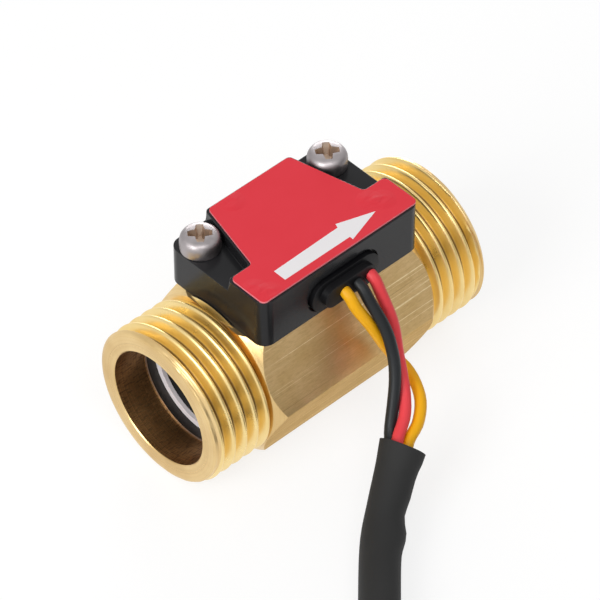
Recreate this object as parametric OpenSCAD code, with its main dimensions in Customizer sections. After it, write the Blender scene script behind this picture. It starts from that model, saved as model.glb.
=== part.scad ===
// Inline flow meter with a turbine and a Hall sensor, for a half inch pipe.
// +X is the flow direction, +Z is up, the cable leaves towards -Y.
// The origin is the middle of the hexagon's bottom flat. All sizes are millimetres.

/* [Brass body] */
// Length from end face to end face
body_length = 44.5; // [40:0.5:60]
// Distance across the flats of the hexagon
hex_flats = 21; // [21:0.5:27]
// Distance across the two side corners of the hexagon
hex_corners = 23.2; // [23:0.2:29]
// Width of the top and bottom flats
hex_flat_width = 13.3; // [12.8:0.1:14]
// Length of the hexagon, taken at the middle of a flat
hex_length = 26.6; // [26:0.2:30]
// How far the hexagon's corners are cut back at each end
hex_end_bevel = 1.5; // [0.6:0.1:2]
// Depth of the milled seat below the top flat
seat_depth = 1.0; // [0.6:0.1:1.2]

/* [Pipe threads] */
// Outside diameter of the thread
thread_od = 20.955; // [20.5:0.005:20.98]
// Thread pitch
thread_pitch = 1.814; // [1.6:0.002:2]
// Radial height of the thread
thread_height = 1.162; // [0.9:0.002:1.2]
// Width of the thread's crest
thread_crest = 0.32; // [0.2:0.02:0.4]
// Bevel on the first turn
thread_lead = 0.6; // [0.3:0.1:1]

/* [Bore] */
// How much wider the inlet mouth is than the cartridge bore, in radius
mouth_step = 0.28; // [0.1:0.02:0.5]
// Width of the ledge that stops the cartridge
stop_ledge = 0.9; // [0.6:0.05:1.4]

/* [Turbine cartridge] */
// Free radial gap round a piece that drops into the bore
cartridge_gap = 0.05; // [0.02:0.01:0.08]
// Depth of the retaining ring behind the mouth's shoulder
ring_recess = 1.2; // [0.8:0.1:1.6]
// Length of the retaining ring
ring_length = 0.5; // [0.4:0.1:0.8]
// Radial width of the retaining ring
ring_width = 0.9; // [0.7:0.05:1.2]
// Length of the guide's open rim in front of its vanes
guide_rim = 1.9; // [1.6:0.1:2.6]
// Radial wall of the guide round its vanes
guide_wall = 1.85; // [1.6:0.05:2.1]
// Radial wall of the sleeve round the rotor
sleeve_wall = 0.45; // [0.4:0.05:0.6]
// Length of the guide's vanes
vane_length = 6.4; // [5:0.1:7]
// Number of guide vanes
vane_count = 5; // [3:1:7]
// Thickness of a vane
vane_thickness = 0.9; // [0.6:0.1:1.2]
// Diameter of the guide's hub
hub_diameter = 6.4; // [6:0.1:6.8]
// Length of the outlet support
support_length = 7.2; // [6.5:0.1:8]
// Number of arms on the outlet support
support_arms = 4; // [3:1:6]

/* [Rotor] */
// Place of the rotor's middle, along the flow
rotor_x = -1.37; // [-2:0.01:-0.8]
// Length of the rotor's hub
rotor_length = 10; // [8:0.1:11]
// Diameter over the blades
rotor_diameter = 13.4; // [12.8:0.1:13.6]
// Free radial gap round the blade tips
tip_gap = 0.3; // [0.2:0.05:0.4]
// Diameter of the rotor's hub
rotor_hub = 7; // [6.8:0.1:7.4]
// Number of blades
blade_count = 6; // [4:1:8]
// Blade thickness
blade_thickness = 1; // [0.7:0.1:1.3]
// Turn of each blade from end to end, in degrees
blade_twist = 75; // [40:5:100]
// Free gap between the rotor and each bearing carrier
rotor_play = 1.0; // [0.6:0.1:1.4]
// Shaft diameter
shaft_diameter = 1.6; // [1.4:0.1:2]
// Radial running clearance of the shaft in its bushes
shaft_clearance = 0.03; // [0.01:0.01:0.08]
// Outer diameter of a bush
bush_diameter = 3.2; // [3:0.1:3.6]
// Length of a bush
bush_length = 2.4; // [1.6:0.1:3]
// Diameter of a magnet
magnet_diameter = 2; // [1.6:0.1:2.1]
// Length of a magnet
magnet_length = 4; // [2:0.5:6]

/* [Sensor housing] */
// Length of the housing
housing_length = 25.5; // [25:0.1:27]
// Width of the housing
housing_width = 16.6; // [16:0.1:18]
// Height of the lugs that the screws hold
lug_height = 5.5; // [5.2:0.1:6]
// Height of the raised block above the lugs
block_height = 1.65; // [1.4:0.05:2]
// Width of the block's full-length front part
block_front = 6.2; // [5.2:0.1:6.4]
// How far inside a screw's place the block's side starts, behind the front part
neck_inset = 1; // [1:0.1:1.4]
// How far inside a screw's place the block's side ends, at the back
back_inset = 3.5; // [3.5:0.1:4]
// Wall thickness
housing_wall = 1.3; // [1:0.1:1.4]
// Radius of the housing's upright corners
corner_radius = 1.6; // [1:0.1:2]
// Distance of each screw from the housing's end
screw_to_end = 2.45; // [2.2:0.05:2.8]
// Distance of each screw from the housing's back
screw_to_back = 3; // [2.8:0.05:3.3]

/* [Screws and label] */
// Nominal diameter of the screws
screw_diameter = 2.5; // [2.2:0.1:2.6]
// Diameter of the screw heads
head_diameter = 5; // [4.4:0.1:5]
// Height of the screw heads
head_height = 2.4; // [1.6:0.1:2.5]
// Least wall between a tapped hole and the bore
tapped_wall = 0.6; // [0.4:0.1:1]
// Free depth below the end of each screw
screw_end_gap = 0.3; // [0.2:0.1:0.6]
// Thickness of the label
label_thickness = 0.25; // [0.1:0.05:0.4]
// Margin of the block that the label leaves free
label_margin = 0.25; // [0.1:0.05:0.6]

/* [Electronics] */
// Thickness of the sealing compound under the circuit board
potting_height = 1.2; // [1.2:0.1:1.6]
// Free gap at each end of the circuit board, and in front of it
board_gap = 0.4; // [0.2:0.1:0.6]
// Free gap behind the circuit board
board_back_gap = 1.6; // [1:0.1:2.4]
// Thickness of the circuit board
board_thickness = 0.8; // [0.6:0.1:1]

/* [Cable] */
// Diameter of each wire over its insulation
wire_diameter = 1.4; // [1.2:0.1:1.5]
// Distance between the wires in the grommet
wire_pitch = 2.1; // [1.9:0.1:2.2]
// Outer diameter of the cable sleeve
cable_diameter = 5; // [4.6:0.1:5.2]
// Width of the grommet's flange
grommet_width = 10.8; // [10:0.1:11]
// Height of the grommet's flange
grommet_height = 4.4; // [4.2:0.1:4.6]
// How far the grommet's collar stands out of the housing
collar_reach = 1.4; // [1:0.1:1.8]

/* [Hidden] */

round_fn = 64;
small_fn = 32;
cut = 0.5;

// Heights and places of the brass body
axis_z = hex_flats / 2;
seat_z = hex_flats - seat_depth;
half_body = body_length / 2;
half_hex = hex_length / 2;
thread_radius = thread_od / 2;
root_radius = thread_radius - thread_height;

// Radii of the cartridge and the bore, from the rotor outwards
sleeve_bore_radius = rotor_diameter / 2 + tip_gap;
insert_radius = sleeve_bore_radius + sleeve_wall;
bore_radius = insert_radius + cartridge_gap;
mouth_radius = bore_radius + mouth_step;
outlet_radius = bore_radius - stop_ledge;
ring_bore_radius = insert_radius - ring_width;
guide_bore_radius = insert_radius - guide_wall;

// Places along the flow: from the rotor back to the inlet mouth, and on to the stop
rotor_start = rotor_x - rotor_length / 2;
guide_hub_end = rotor_start - rotor_play;
vane_start = guide_hub_end - vane_length;
guide_start = vane_start - guide_rim;
ring_start = guide_start - ring_length;
mouth_end = ring_start - ring_recess;
rotor_end = rotor_start + rotor_length;
support_start = rotor_end + rotor_play;
stop_x = support_start + support_length;
hub_radius = hub_diameter / 2;
shaft_radius = shaft_diameter / 2;
bush_radius = bush_diameter / 2;
bush_recess = 0.2;
shaft_end_gap = 0.4;
rim_wall = 1;
vane_setback = 0.3;
vane_root = 0.4;
vane_bite = 0.3;
guide_nose_setback = 0.4;
guide_funnel = 1.2;
support_nose_setback = 0.6;
support_nose_length = 2.4;
support_arm_setback = 2;
magnet_ring = (shaft_radius + rotor_hub / 2) / 2;
magnet_recess = 0.2;

// Heights of the housing
lug_top = seat_z + lug_height;
block_top = lug_top + block_height;
roof_z = block_top - housing_wall;
half_width = housing_width / 2;
block_step_y = -half_width + block_front;
screw_x = housing_length / 2 - screw_to_end;
screw_y = half_width - screw_to_back;
screw_radius = screw_diameter / 2;
half_neck = screw_x - neck_inset;
half_back = screw_x - back_inset;
cavity_radius = 0.6;

// The tapped holes end above the bore, and the screws end in them
bore_top_at_screws = axis_z + sqrt(bore_radius ^ 2 - (screw_y - screw_radius) ^ 2);
tapped_depth = seat_z - bore_top_at_screws - tapped_wall;
screw_length = lug_height + tapped_depth - screw_end_gap;
screw_hole_gap = 0.2;

// The board lies on the sealing compound, with the Hall sensor under it over the rotor
potting_top = seat_z + potting_height;
board_top = potting_top + board_thickness;
wire_radius = wire_diameter / 2;
wire_z = board_top + wire_radius;
wire_row_x = 1.1;
chip_height = 1.1;
chip_length = 2.9;
chip_width = 1.4;
chip_lead = [0.4, 1, 0.3];
chip_lead_spread = 0.95;
chip_pocket = 3.2;
part_length = 2;
part_width = 1.25;
part_row_y = 1.2;
part_to_board_end = 2;
resistor_height = 0.5;
capacitor_height = 0.8;

// The grommet sits in a recess round the slot in the front wall
recess_depth = 0.5;
recess_margin = 0.3;
flange_height = 1.0;
inner_flange = 0.8;
grommet_lift = 0.15;
grommet_z = wire_z + grommet_lift;
slot_width = grommet_width - 1.6;
slot_height = grommet_height - 1.2;
collar_width = grommet_width - 2.6;
collar_height = grommet_height - 1.4;
collar_face = -half_width - collar_reach;

// The circuit board fills the housing behind the grommet
board_front_y = -half_width + housing_wall + inner_flange + board_gap;
board_back_y = half_width - housing_wall - board_back_gap;
board_width = board_back_y - board_front_y;
board_half = block_half(board_back_y, housing_wall) - board_gap;

// The cable runs away from the meter at this angle and is put away in a flat round coil
lead_angle = 43.2;
coil_centre = [-21.3, -78.2];
coil_start_radius = 28.15;
coil_end_radius = 21.85;
cable_radius = cable_diameter / 2;

// The plug lies inside the coil, its back face at plug_v
plug_width = 9.8;
plug_height = 5.6;
plug_length = 9.6;
plug_u = -7;
plug_v = 6;
contact_pitch = 2.5;
contact_z = 2.8;
contact_size = 1.3;
contact_wall = 0.3;
contact_pocket = 4;
contact_setback = 1;
contact_slot = 1.7;
latch_window = [1.2, 1.8];
latch_setback = 4.2;

// Moves children that were made along Z onto the pipe axis, along X
module on_axis() {
    translate([0, 0, axis_z])
        rotate([0, 90, 0])
            children();
}

module tube(x_from, x_to, outer, inner) {
    on_axis()
        translate([0, 0, x_from])
            difference() {
                cylinder(h = x_to - x_from, r = outer, $fn = round_fn);
                translate([0, 0, -cut])
                    cylinder(h = x_to - x_from + 2 * cut, r = inner, $fn = round_fn);
            }
}

module rod(x_from, x_to, radius, fn = small_fn) {
    on_axis()
        translate([0, 0, x_from])
            cylinder(h = x_to - x_from, r = radius, $fn = fn);
}

// Joins rings of equal point count into one closed surface
module skin(rings) {
    sides = len(rings[0]);
    last = len(rings) - 1;
    walls = [
        for (i = [0 : last - 1])
            for (j = [0 : sides - 1])
                let (k = (j + 1) % sides, low = i * sides, high = low + sides)
                    each [[low + j, low + k, high + k], [low + j, high + k, high + j]]
    ];
    start_cap = [[for (j = [0 : sides - 1]) sides - 1 - j]];
    end_cap = [[for (j = [0 : sides - 1]) last * sides + j]];
    polyhedron(points = [for (ring = rings) each ring], faces = concat(start_cap, walls, end_cap));
}

// Section of one threaded end: rounded-off ridges, counted from the end face towards the hexagon
half_crest = thread_crest / 2;
thread_flank = thread_height * tan(27.5);
first_crest = half_body - 0.95;
thread_turns = floor((first_crest - half_hex) / thread_pitch);

function ridge(x) = [
    [root_radius, x + half_crest + thread_flank],
    [thread_radius, x + half_crest],
    [thread_radius, x - half_crest],
    [root_radius, x - half_crest - thread_flank]
];

module threaded_end() {
    rotate_extrude($fn = round_fn)
        intersection() {
            polygon(concat(
                [[0, half_hex - 1], [0, half_body + 1], [root_radius, half_body + 1]],
                [for (i = [0 : thread_turns]) each ridge(first_crest - i * thread_pitch)],
                [[root_radius, half_hex - 1]]
            ));
            polygon([
                [0, half_hex - 1], [thread_radius + 1, half_hex - 1],
                [thread_radius + 1, half_body - thread_lead - 1], [thread_radius - thread_lead, half_body],
                [0, half_body]
            ]);
        }
}

module threaded_ends() {
    on_axis()
        for (end = [0, 1])
            mirror([0, 0, end])
                threaded_end();
}

module hexagon_outline() {
    polygon([
        [hex_corners / 2, 0], [hex_flat_width / 2, hex_flats / 2], [-hex_flat_width / 2, hex_flats / 2],
        [-hex_corners / 2, 0], [-hex_flat_width / 2, -hex_flats / 2], [hex_flat_width / 2, -hex_flats / 2]
    ]);
}

module hexagon() {
    corner = hex_corners / 2;
    on_axis()
        intersection() {
            rotate([0, 0, 90])
                translate([0, 0, -half_hex])
                    linear_extrude(hex_length)
                        hexagon_outline();
            rotate_extrude($fn = round_fn)
                polygon([
                    [0, -half_hex], [hex_flats / 2, -half_hex], [corner + 0.1, -half_hex + hex_end_bevel],
                    [corner + 0.1, half_hex - hex_end_bevel], [hex_flats / 2, half_hex], [0, half_hex]
                ]);
        }
}

module bore() {
    on_axis()
        rotate_extrude($fn = round_fn)
            polygon([
                [0, -half_body - cut], [mouth_radius, -half_body - cut], [mouth_radius, mouth_end],
                [bore_radius, mouth_end], [bore_radius, stop_x], [outlet_radius, stop_x],
                [outlet_radius, half_body + cut], [0, half_body + cut]
            ]);
}

module at_screws() {
    for (side = [-1, 1])
        translate([side * screw_x, screw_y, 0])
            children();
}

module body() {
    color("#C9A24A")
        difference() {
            union() {
                difference() {
                    hexagon();
                    translate([-half_hex - cut, -hex_flats / 2, seat_z])
                        cube([hex_length + 2 * cut, hex_flats, hex_flats]);
                }
                threaded_ends();
            }
            bore();
            at_screws()
                translate([0, 0, seat_z - tapped_depth])
                    cylinder(h = tapped_depth + cut, r = screw_radius, $fn = small_fn);
        }
}

module retaining_ring() {
    color("#ECE6EC")
        tube(ring_start, guide_start, insert_radius, ring_bore_radius);
}

// One bearing carrier hub with a domed nose on one side
module hub_profile(nose_x, round_x, flat_x) {
    steps = 8;
    on_axis()
        rotate_extrude($fn = round_fn)
            polygon(concat(
                [[0, flat_x], [hub_radius, flat_x]],
                [for (i = [0 : steps])
                    let (a = 90 * i / steps)
                        [hub_radius * cos(a), round_x + (nose_x - round_x) * sin(a)]]
            ));
}

module bush_pocket(x_from, x_to) {
    rod(x_from, x_to, bush_radius);
}

module vanes(count, x_from, x_to, tip_radius) {
    for (i = [0 : count - 1])
        translate([0, 0, axis_z])
            rotate([360 * (i + 0.5) / count, 0, 0])
                translate([x_from, -vane_thickness / 2, hub_radius - vane_root])
                    cube([x_to - x_from, vane_thickness, tip_radius - hub_radius + vane_root]);
}

module inlet_guide() {
    color("#26282A")
        difference() {
            union() {
                on_axis()
                    rotate_extrude($fn = round_fn)
                        polygon([
                            [ring_bore_radius, guide_start], [insert_radius, guide_start],
                            [insert_radius, support_start], [sleeve_bore_radius, support_start],
                            [sleeve_bore_radius, guide_hub_end], [guide_bore_radius, guide_hub_end],
                            [guide_bore_radius, guide_start + guide_funnel]
                        ]);
                hub_profile(guide_start + guide_nose_setback, vane_start, guide_hub_end);
                vanes(vane_count, vane_start + vane_setback, guide_hub_end - vane_setback,
                    guide_bore_radius + vane_bite);
            }
            bush_pocket(guide_hub_end - bush_length - bush_recess, guide_hub_end + cut);
        }
}

module outlet_support() {
    color("#26282A")
        difference() {
            union() {
                tube(support_start, stop_x, insert_radius, insert_radius - rim_wall);
                hub_profile(stop_x - support_nose_setback,
                    stop_x - support_nose_setback - support_nose_length, support_start);
                vanes(support_arms, support_start + vane_setback, stop_x - support_arm_setback,
                    insert_radius - rim_wall + vane_bite);
            }
            bush_pocket(support_start - cut, support_start + bush_length + bush_recess);
        }
}

module bush(x_from) {
    color("#B9B4A4")
        tube(x_from, x_from + bush_length, bush_radius, shaft_radius + shaft_clearance);
}

module bush_inlet() {
    bush(guide_hub_end - bush_length - bush_recess);
}

module bush_outlet() {
    bush(support_start + bush_recess);
}

module rotor_outline() {
    circle(d = rotor_hub, $fn = round_fn);
    for (i = [0 : blade_count - 1])
        rotate(360 * i / blade_count)
            translate([rotor_hub / 2 - vane_root, -blade_thickness / 2])
                square([(rotor_diameter - rotor_hub) / 2 + vane_root, blade_thickness]);
}

module at_magnet(index) {
    on_axis()
        rotate(180 * index)
            translate([magnet_ring, 0, rotor_start])
                children();
}

module rotor() {
    color("#F1EFF2")
        difference() {
            on_axis()
                translate([0, 0, rotor_start])
                    linear_extrude(height = rotor_length, twist = blade_twist, slices = 14)
                        rotor_outline();
            rod(rotor_start - cut, rotor_end + cut, shaft_radius);
            for (i = [0, 1])
                at_magnet(i)
                    translate([0, 0, -cut])
                        cylinder(h = magnet_length + magnet_recess + cut, d = magnet_diameter,
                            $fn = small_fn);
        }
}

module rotor_shaft() {
    color("#C4C6C8")
        rod(guide_hub_end - bush_length - bush_recess + shaft_end_gap,
            support_start + bush_length + bush_recess - shaft_end_gap, shaft_radius);
}

module magnet(index) {
    color("#6E7073")
        at_magnet(index)
            translate([0, 0, magnet_recess])
                cylinder(h = magnet_length, d = magnet_diameter, $fn = small_fn);
}

// Outlines of the housing, seen from above
module rounded_rectangle(length, width, radius) {
    for (sx = [-1, 1])
        for (sy = [-1, 1])
            translate([sx * (length / 2 - radius), sy * (width / 2 - radius)])
                circle(r = radius, $fn = small_fn);
    square([length - 2 * radius, width], center = true);
    square([length, width - 2 * radius], center = true);
}

// Half length of the block behind its step, with every edge moved inwards by a margin
function block_half(y, margin) =
    half_neck - margin
    - (half_neck - half_back) * (y - block_step_y + margin) / (half_width - block_step_y);

// Full length in front, narrowing behind
module block_outline(margin) {
    front = -half_width + margin;
    back = half_width - margin;
    step = block_step_y - margin;
    half_front = housing_length / 2 - margin;
    neck = block_half(step, margin);
    tail = block_half(back, margin);
    polygon([
        [-half_front, front], [half_front, front], [half_front, step], [neck, step],
        [tail, back], [-tail, back], [-neck, step], [-half_front, step]
    ]);
}

module stadium(width, height) {
    square([width - height, height], center = true);
    for (side = [-1, 1])
        translate([side * (width - height) / 2, 0])
            circle(r = height / 2, $fn = small_fn);
}

// A stadium-shaped plug through the front wall, from y_from forwards to y_to
module wall_plug(width, height, y_from, y_to) {
    translate([0, y_from, grommet_z])
        rotate([90, 0, 0])
            linear_extrude(y_from - y_to)
                stadium(width, height);
}

module cavity_outline() {
    intersection() {
        block_outline(housing_wall);
        rounded_rectangle(housing_length - 2 * housing_wall, housing_width - 2 * housing_wall,
            cavity_radius);
    }
}

module housing() {
    slot_inner = -half_width + housing_wall + cut;
    color("#303134")
        difference() {
            union() {
                translate([0, 0, seat_z])
                    linear_extrude(lug_height)
                        rounded_rectangle(housing_length, housing_width, corner_radius);
                translate([0, 0, seat_z])
                    linear_extrude(lug_height + block_height)
                        intersection() {
                            block_outline(0);
                            rounded_rectangle(housing_length, housing_width, corner_radius);
                        }
            }
            translate([0, 0, seat_z - cut])
                linear_extrude(roof_z - seat_z + cut)
                    cavity_outline();
            at_screws()
                translate([0, 0, seat_z - cut])
                    cylinder(h = lug_height + 2 * cut, r = screw_radius + screw_hole_gap, $fn = small_fn);
            wall_plug(slot_width, slot_height, slot_inner, -half_width - cut);
            wall_plug(grommet_width + 2 * recess_margin, grommet_height + 2 * recess_margin,
                -half_width + recess_depth, -half_width - cut);
        }
}

module potting() {
    color("#3A3632")
        difference() {
            translate([0, 0, seat_z])
                linear_extrude(potting_height)
                    cavity_outline();
            wall_plug(grommet_width, grommet_height, -half_width + housing_wall + inner_flange,
                -half_width);
            translate([rotor_x, 0, potting_top])
                cube([chip_pocket, chip_pocket, 2 * chip_height], center = true);
        }
}

module circuit_board() {
    color("#2F6B45")
        translate([-board_half, board_front_y, potting_top])
            cube([2 * board_half, board_width, board_thickness]);
}

module hall_sensor() {
    lead_y = (chip_width + chip_lead[1]) / 2 - 0.3;
    color("#1E1F21")
        union() {
            translate([rotor_x, 0, potting_top - chip_height / 2])
                cube([chip_length, chip_width, chip_height], center = true);
            for (place = [[-chip_lead_spread, -1], [chip_lead_spread, -1], [0, 1]])
                translate([rotor_x + place[0], place[1] * lead_y, potting_top - chip_lead[2] / 2])
                    cube(chip_lead, center = true);
        }
}

module chip_part(side, height) {
    translate([side * (board_half - part_to_board_end), part_row_y, board_top + height / 2])
        cube([part_length, part_width, height], center = true);
}

module resistor() {
    color("#2B2C30")
        chip_part(-1, resistor_height);
}

module capacitor() {
    color("#A58B6A")
        chip_part(1, capacitor_height);
}

module label() {
    color("#D9434A")
        translate([0, 0, block_top])
            linear_extrude(label_thickness)
                offset(r = 0.7, $fn = small_fn)
                    offset(delta = -0.7)
                        block_outline(label_margin);
}

// Pan head screw with a cross recess
module screw(side) {
    shank = screw_radius - 0.05;
    head = head_diameter / 2;
    color("#B9B7BC")
        translate([side * screw_x, screw_y, lug_top])
            difference() {
                rotate_extrude($fn = small_fn)
                    polygon([
                        [0, -screw_length], [shank - 0.4, -screw_length], [shank, -screw_length + 0.4],
                        [shank, 0], [head, 0], [head, head_height * 0.5],
                        [head - 0.1, head_height * 0.72], [head - 0.4, head_height * 0.9],
                        [head - 0.9, head_height], [0, head_height]
                    ]);
                for (turn = [0, 90])
                    rotate([0, 0, turn])
                        translate([-1.3, -0.35, head_height - 1])
                            cube([2.6, 0.7, 1 + cut]);
            }
}

module grommet() {
    inner_y = -half_width + housing_wall;
    color("#1F2022")
        difference() {
            union() {
                wall_plug(grommet_width, grommet_height, inner_y + inner_flange, inner_y);
                wall_plug(slot_width, slot_height, inner_y + cut, -half_width);
                wall_plug(grommet_width, grommet_height, -half_width + recess_depth,
                    -half_width + recess_depth - flange_height);
                wall_plug(collar_width, collar_height, -half_width, collar_face);
            }
            for (i = [-1 : 1])
                translate([wire_row_x + i * wire_pitch, 0, wire_z])
                    rotate([90, 0, 0])
                        cylinder(h = housing_width, r = wire_radius, $fn = small_fn);
        }
}

// Sweeps a round tube along points, with an upright start and end where asked
function unit(v) = v / norm(v);

function path_tangent(path, i) =
    i == 0 ? unit(path[1] - path[0]) :
    i == len(path) - 1 ? unit(path[i] - path[i - 1]) :
    unit(path[i + 1] - path[i - 1]);

function ring_at(path, i, radius, sides) =
    let (
        ahead = path_tangent(path, i),
        side = unit(cross(ahead, [0.02, 0.03, 1])),
        over = cross(side, ahead)
    )
    [for (j = [0 : sides - 1])
        let (a = 360 * (j + 0.5) / sides)
            path[i] + radius * (cos(a) * side + sin(a) * over)];

module swept_tube(path, radius, sides) {
    skin([for (i = [0 : len(path) - 1]) ring_at(path, i, radius, sides)]);
}

// Wires from the circuit board, through the grommet, down in front of the body to the sleeve
yellow_route = [
    [-1, -5, 22.7], [-1, -9.7, 22.7], [-0.4, -11.4, 21.4], [0.8, -13, 18], [1.6, -13.8, 14.5],
    [3.4, -14.1, 12.2], [4.6, -15.8, 11.2], [4, -18, 10.4], [2.4, -20.2, 9.4], [-0.2, -21.6, 8.4],
    [-2.3, -22.8, 7.4]
];
black_route = [
    [1.1, -5, 22.7], [1.1, -9.7, 22.7], [1.5, -11.5, 21.2], [1.8, -14.2, 18], [1.2, -16, 15],
    [0.2, -16.9, 12.5], [-1.2, -18.1, 10.5], [-2.8, -19.4, 9], [-4.4, -20.8, 7.6]
];
red_route = [
    [3.2, -5, 22.7], [3.2, -9.7, 22.7], [3.9, -11.4, 21], [3.7, -13.6, 17.2], [2.6, -15.6, 14.4],
    [1.5, -17.6, 12.3], [0.5, -18.8, 11], [-1, -20.1, 9.4], [-3.4, -21.8, 7.6]
];

// The sleeve comes down to the surface and runs out to the coil
sleeve_route = [
    [-3.4, -21.9, 7.4], [-6, -23.6, 5.6], [-9.4, -25.9, 4], [-13, -28.6, 2.9], [-18.9, -34.5, 2.5],
    [-26.5, -42.6, 2.5], [-34, -50.6, 2.5], [-41.8, -58.9, 2.5]
];

// A place beside the coil's centre: u across the cable's way, v along it
function coil_place(u, v, z) = [
    coil_centre[0] - u * cos(lead_angle) - v * sin(lead_angle),
    coil_centre[1] + u * sin(lead_angle) - v * cos(lead_angle),
    z
];

// Wires from the end of the sleeve, inside the coil, to the plug. Each row gives u and v of
// the middle of the three, how an offset turns u and v, the height, and the middle wire's lift.
tail_rows = [
    [-0.5, 21.85, -0.1, 0.3, 2.1, 1.3],
    [-3.8, 20.9, -0.25, 0.4, 2.1, 1.1],
    [-6.2, 18, -0.6, 0.3, 2.3, 0.5],
    [-7, 14, -0.9, 0.1, 2.6, 0.1],
    [-7, 10, -1, 0, 2.8, 0],
    [-7, 6, -1, 0, 2.8, 0]
];

function tail_route(offset) = [
    for (row = tail_rows)
        coil_place(row[0] + row[2] * offset, row[1] + row[3] * offset,
            row[4] + (offset == 0 ? row[5] : 0))
];

module wire(shade, route) {
    color(shade)
        swept_tube(route, wire_radius, 8);
}

module sleeve() {
    color("#2C2D2F")
        swept_tube(sleeve_route, cable_radius, 12);
}

module sleeve_coil() {
    inner = coil_end_radius - cable_radius;
    outer = coil_start_radius + cable_radius;
    color("#2C2D2F")
        translate([coil_centre[0], coil_centre[1], 0])
            rotate_extrude($fn = round_fn)
                translate([(inner + outer) / 2, cable_radius])
                    stadium(outer - inner, cable_diameter);
}

// Places children in the plug's own frame: its back face at v, pointing to the coil's middle
module at_plug() {
    translate([coil_centre[0], coil_centre[1], 0])
        rotate([0, 0, -lead_angle])
            translate([-plug_u, -plug_v, 0])
                children();
}

module plug_housing() {
    slot_floor = contact_z - contact_slot / 2;
    color("#E7E2D4")
        at_plug()
            difference() {
                translate([-plug_width / 2, 0, 0])
                    cube([plug_width, plug_length, plug_height]);
                for (i = [-1 : 1])
                    translate([i * contact_pitch - contact_slot / 2, -cut, slot_floor])
                        cube([contact_slot, plug_length + 2 * cut, contact_slot]);
                for (i = [-1 : 1])
                    translate([i * contact_pitch, plug_length - latch_setback, contact_z])
                        translate([-latch_window[0] / 2, 0, 0])
                            cube([latch_window[0], latch_window[1], plug_height]);
            }
}

module plug_contact(index) {
    hollow = contact_size - 2 * contact_wall;
    contact_length = plug_length - contact_setback;
    slot_floor = contact_z - contact_slot / 2;
    color("#C9C6BE")
        at_plug()
            translate([(index - 2) * contact_pitch - contact_size / 2, 0, slot_floor])
                difference() {
                    cube([contact_size, contact_length, contact_size]);
                    translate([contact_wall, contact_length - contact_pocket, contact_wall])
                        cube([hollow, contact_pocket + cut, hollow]);
                }
}

body();
retaining_ring();
inlet_guide();
outlet_support();
bush_inlet();
bush_outlet();
rotor();
rotor_shaft();
magnet(0);  // magnet_1
magnet(1);  // magnet_2
housing();
potting();
circuit_board();
hall_sensor();
resistor();
capacitor();
label();
screw(-1);  // screw_inlet
screw(1);  // screw_outlet
grommet();
wire("#F0B51C", yellow_route);  // wire_yellow
wire("#2C2F31", black_route);  // wire_black
wire("#E8474D", red_route);  // wire_red
wire("#F0B51C", tail_route(-contact_pitch));  // wire_end_yellow
wire("#2C2F31", tail_route(0));  // wire_end_black
wire("#E8474D", tail_route(contact_pitch));  // wire_end_red
sleeve();
sleeve_coil();
plug_housing();
plug_contact(1);  // plug_contact_1
plug_contact(2);  // plug_contact_2
plug_contact(3);  // plug_contact_3
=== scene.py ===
import math

import bmesh
import bpy
from mathutils import Matrix, Vector


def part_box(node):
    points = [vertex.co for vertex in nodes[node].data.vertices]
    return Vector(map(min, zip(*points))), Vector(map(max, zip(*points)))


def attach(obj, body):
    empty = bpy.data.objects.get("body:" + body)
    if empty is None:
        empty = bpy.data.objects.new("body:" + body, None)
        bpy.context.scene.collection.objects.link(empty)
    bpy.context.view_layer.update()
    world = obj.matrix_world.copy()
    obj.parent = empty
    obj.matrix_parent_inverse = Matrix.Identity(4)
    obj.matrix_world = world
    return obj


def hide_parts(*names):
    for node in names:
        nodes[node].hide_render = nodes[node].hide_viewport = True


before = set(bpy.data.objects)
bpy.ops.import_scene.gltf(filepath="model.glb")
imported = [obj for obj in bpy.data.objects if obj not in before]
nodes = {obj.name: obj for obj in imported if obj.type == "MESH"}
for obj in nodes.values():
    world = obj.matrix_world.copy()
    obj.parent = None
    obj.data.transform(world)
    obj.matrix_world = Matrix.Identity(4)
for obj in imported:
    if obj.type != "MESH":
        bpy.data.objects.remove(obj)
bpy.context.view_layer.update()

MM = 0.001

# Sizes of the meter, in metres, from the solids
BODY_LOW, BODY_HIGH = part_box("body")
HOUSING_LOW, HOUSING_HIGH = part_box("housing")
LABEL_LOW, LABEL_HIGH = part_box("label")
GROMMET_LOW, GROMMET_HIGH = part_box("grommet")
AXIS_Z = (BODY_LOW.z + BODY_HIGH.z) / 2
HALF_BODY = BODY_HIGH.x
HALF_HEX = 13.3 * MM
FLAT_HALF = BODY_HIGH.z - AXIS_Z
CORNER = BODY_HIGH.y
FLAT_EDGE = 6.65 * MM
SEAT_Z = HOUSING_LOW.z
PIPE_R = 10.4775 * MM
THREAD_PITCH = 1.814 * MM
THREAD_DEPTH = 1.162 * MM
# The last millimetre at each end, where the thread runs out into a plain ring
LIP_R = 10.12 * MM
LIP_LENGTH = 0.85 * MM
LIP_ROUND = 0.8 * MM
# Places of a crest on top of the pipe, two turns before each thread's first
NEAR_CREST = -23.49 * MM
FAR_CREST = 10.64 * MM
CORE_R = 8.9 * MM
HEAD_HEIGHT = 2.4 * MM
MOUTH_R = 7.78 * MM
CARTRIDGE_R = 7.5 * MM
OUTLET_R = 6.6 * MM
MOUTH_END = -17.37 * MM
STOP_X = 11.83 * MM

# Places on the label where the film lifts a little
FILM_BUBBLES = [(-11.6, -5.6), (-10.6, -7.2), (9.6, -5.0), (8.4, -4.0), (-3.6, 7.0)]

# Camera at the photograph's viewing angle
CAMERA_PLACE = Vector((-248.55, -265.79, 381.96)) * MM
CAMERA_RIGHT = Vector((0.7292, -0.6843, 0.0))
CAMERA_BACK = Vector((-0.4807, -0.5124, 0.7116))
LENS_MM = 258.36

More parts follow.
